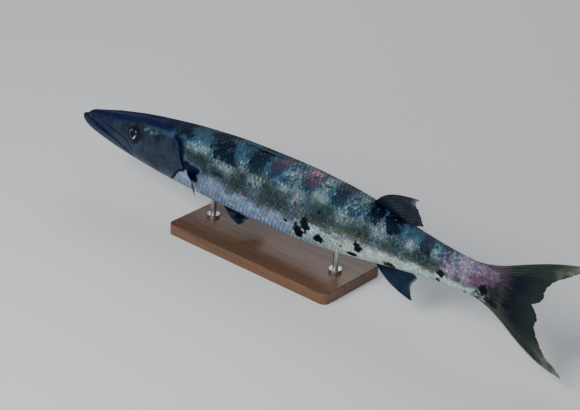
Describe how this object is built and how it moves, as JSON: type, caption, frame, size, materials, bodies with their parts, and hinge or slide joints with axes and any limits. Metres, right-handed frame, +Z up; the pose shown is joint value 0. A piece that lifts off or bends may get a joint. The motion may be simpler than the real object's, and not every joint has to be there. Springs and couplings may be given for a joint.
{
  "type": "barracuda",
  "caption": "Still life-size model of a great barracuda swimming with a slight bow, long jaws just parted, held level on a plain display stand by short rods.",
  "frame": {"origin": "centre of the stand's underside, on the floor", "axes": "+Z up, -X towards the snout, -Y towards the fish's left side"},
  "size_m": [1.0782, 0.1834, 0.2327],
  "materials": {
    "head_skin": "satin, smooth dark slate skin",
    "flank_skin": "satin, silvery scales with dark saddles and blotches",
    "tail_skin": "satin, silvery scales",
    "fin_dark": "satin, dark rays in a thin membrane",
    "fin_pale": "satin, pale rays in a thin membrane",
    "eye": "high gloss, dark with a silver ring",
    "stand_wood": "dark satin varnish",
    "stand_steel": "brushed"
  },
  "bodies": {
    "root": {"head": "head_skin", "lower_jaw": "head_skin", "gill_cover_left": "head_skin", "gill_cover_right": "head_skin", "eye_left": "eye", "eye_right": "eye", "body_front": "flank_skin", "body_middle": "flank_skin", "body_rear": "flank_skin", "tail_stalk": "tail_skin", "dorsal_fin_first": "fin_dark", "dorsal_fin_second": "fin_dark", "anal_fin": "fin_dark", "caudal_fin_upper": "fin_dark", "caudal_fin_lower": "fin_dark", "pectoral_fin_left": "fin_pale", "pectoral_fin_right": "fin_pale", "pelvic_fin_left": "fin_dark", "pelvic_fin_right": "fin_dark", "stand_base": "stand_wood", "stand_rod_front": "stand_steel", "stand_rod_rear": "stand_steel"}
  },
  "joints": []
}
